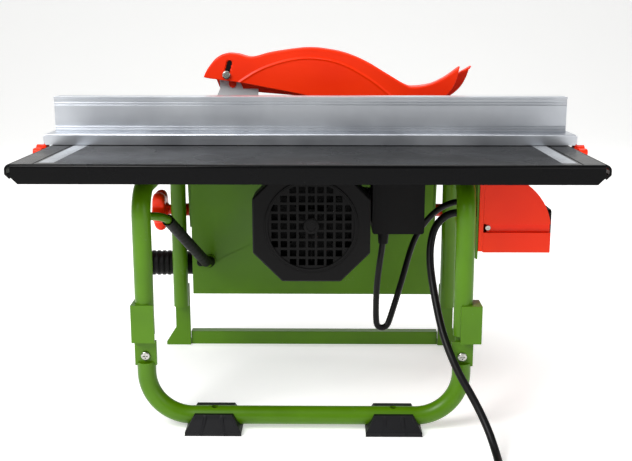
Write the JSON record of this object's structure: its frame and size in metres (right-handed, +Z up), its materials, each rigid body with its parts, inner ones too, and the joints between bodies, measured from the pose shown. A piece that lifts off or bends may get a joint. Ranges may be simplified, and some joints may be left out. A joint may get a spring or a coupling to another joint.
{
  "type": "bench tile cutter",
  "caption": "Small bench tile cutter and table saw: steel table on a tubular stand, tilting motor panel, guarded disc, rip fence, switch box and mains cord.",
  "frame": {"origin": "on the floor, under the middle of the table", "axes": "+Z up, +X along the table to the operator's end with the switch, +Y across the table to the disc's side"},
  "size_m": [0.541, 0.5532, 0.347],
  "materials": {
    "green_powder_coat": "lime green powder coat, satin",
    "black_table_enamel": "dark grey satin enamel on pressed steel",
    "orange_plastic": "orange-red moulded ABS",
    "black_plastic": "black moulded plastic",
    "red_plastic": "red moulded plastic",
    "green_button_plastic": "green moulded plastic",
    "fence_aluminium": "extruded, lightly brushed",
    "scale_aluminium": "anodised strip",
    "zinc_steel": "zinc plated",
    "knife_steel": "ground sheet steel",
    "disc_steel": "ground core with a diamond rim",
    "motor_aluminium": "black painted die casting",
    "core_steel": "laminated steel with lacquered winding",
    "capacitor_case": "drawn can",
    "foot_rubber": "moulded rubber",
    "sleeve_rubber": "dipped rubber sleeve",
    "cord_sheath": "PVC sheath"
  },
  "bodies": {
    "frame": {"table_top": "black_table_enamel", "throat_insert": "black_table_enamel", "insert_screws": "zinc_steel", "table_scales": "scale_aluminium", "rear_leg_tube": "green_powder_coat", "front_leg_tube": "green_powder_coat", "stand_tube": "green_powder_coat", "leg_brackets": "green_powder_coat", "rubber_feet": "foot_rubber", "post_feet": "green_powder_coat", "frame_screws": "zinc_steel", "far_crossbar": "green_powder_coat", "table_straps": "green_powder_coat", "end_plates": "green_powder_coat", "switch_housing": "orange_plastic", "switch_bracket": "green_powder_coat", "switch_frame": "black_plastic", "cord_glands": "black_plastic", "motor_lead": "cord_sheath", "mains_cord": "cord_sheath", "mains_coil": "cord_sheath", "mains_plug": "black_plastic"},
    "tilt_carrier": {"motor_panel": "green_powder_coat", "tilt_bolts": "zinc_steel"},
    "rear_knob": {"rear_lock_knob": "orange_plastic"},
    "front_knob": {"front_lock_knob": "orange_plastic"},
    "height_lever": {"lever_rod": "green_powder_coat", "lever_sleeve": "sleeve_rubber"},
    "motor_carriage": {"fan_cover": "black_plastic", "motor_body": "motor_aluminium", "stator_core": "core_steel", "end_shields": "motor_aluminium", "through_bolts": "zinc_steel", "motor_bearings": "zinc_steel", "slide_plate": "zinc_steel", "carriage_screws": "zinc_steel", "junction_box": "black_plastic", "run_capacitor": "capacitor_case", "near_disc_case": "black_plastic", "far_disc_case": "black_plastic", "case_outlet": "black_plastic", "dust_port": "black_plastic", "riving_knife": "knife_steel", "knife_clamp": "zinc_steel"},
    "arbor": {"rotor_shaft": "zinc_steel", "rotor_core": "core_steel", "cooling_fan": "black_plastic", "diamond_disc": "disc_steel", "disc_flanges": "zinc_steel", "arbor_nut": "zinc_steel"},
    "blade_guard": {"near_guard_shell": "orange_plastic", "far_guard_shell": "orange_plastic", "guard_screw": "zinc_steel"},
    "fence": {"fence_base": "fence_aluminium", "fence_rail": "fence_aluminium", "fence_clamps": "orange_plastic"},
    "rear_clamp": {"rear_clamp_lever": "orange_plastic"},
    "front_clamp": {"front_clamp_lever": "orange_plastic"},
    "start_push": {"start_button": "green_button_plastic"},
    "stop_push": {"stop_button": "red_plastic"}
  },
  "joints": [
    {"name": "tilt", "type": "hinge", "parent": "frame", "child": "tilt_carrier", "pos_m": [0, 0.0935, 0.255], "axis": [1, 0, 0], "range_deg": [0, 45], "deforming": ["motor_lead"]},
    {"name": "height_slide", "type": "slide", "parent": "tilt_carrier", "child": "motor_carriage", "axis": [0, 0, 1], "range_m": [-0.01, 0.008], "deforming": ["motor_lead"]},
    {"name": "lever_turn", "type": "hinge", "parent": "tilt_carrier", "child": "height_lever", "pos_m": [-0.1156, 0.0685, 0.109], "axis": [0, 1, 0], "range_deg": [-10, 12.5]},
    {"name": "arbor_spin", "type": "hinge", "parent": "motor_carriage", "child": "arbor", "pos_m": [0.003, 0.0935, 0.191], "axis": [0, 1, 0], "continuous": true},
    {"name": "guard_lift", "type": "hinge", "parent": "motor_carriage", "child": "blade_guard", "pos_m": [-0.094, 0.0935, 0.317], "axis": [0, -1, 0], "range_deg": [0, 45]},
    {"name": "fence_slide", "type": "slide", "parent": "frame", "child": "fence", "axis": [0, -1, 0], "range_m": [-0.085, 0.115]},
    {"name": "rear_clamp_turn", "type": "hinge", "parent": "fence", "child": "rear_clamp", "pos_m": [-0.2665, -0.0455, 0.25], "axis": [1, 0, 0], "range_deg": [0, 90]},
    {"name": "front_clamp_turn", "type": "hinge", "parent": "fence", "child": "front_clamp", "pos_m": [0.2665, -0.0455, 0.25], "axis": [1, 0, 0], "range_deg": [0, 90]},
    {"name": "rear_knob_turn", "type": "hinge", "parent": "tilt_carrier", "child": "rear_knob", "pos_m": [-0.18, 0.0985, 0.162], "axis": [1, 0, 0], "range_deg": [0, 180]},
    {"name": "front_knob_turn", "type": "hinge", "parent": "tilt_carrier", "child": "front_knob", "pos_m": [0.18, 0.0985, 0.162], "axis": [1, 0, 0], "range_deg": [0, 180]},
    {"name": "start_press", "type": "slide", "parent": "frame", "child": "start_push", "axis": [-1, 0, 0], "range_m": [0, 0.003], "stiffness_N_per_m": 400},
    {"name": "stop_press", "type": "slide", "parent": "frame", "child": "stop_push", "axis": [-1, 0, 0], "range_m": [0, 0.003], "stiffness_N_per_m": 400}
  ],
  "couplings": [
    {"joint": "lever_turn", "follows": "height_slide", "rad_per_m": -21.8}
  ]
}
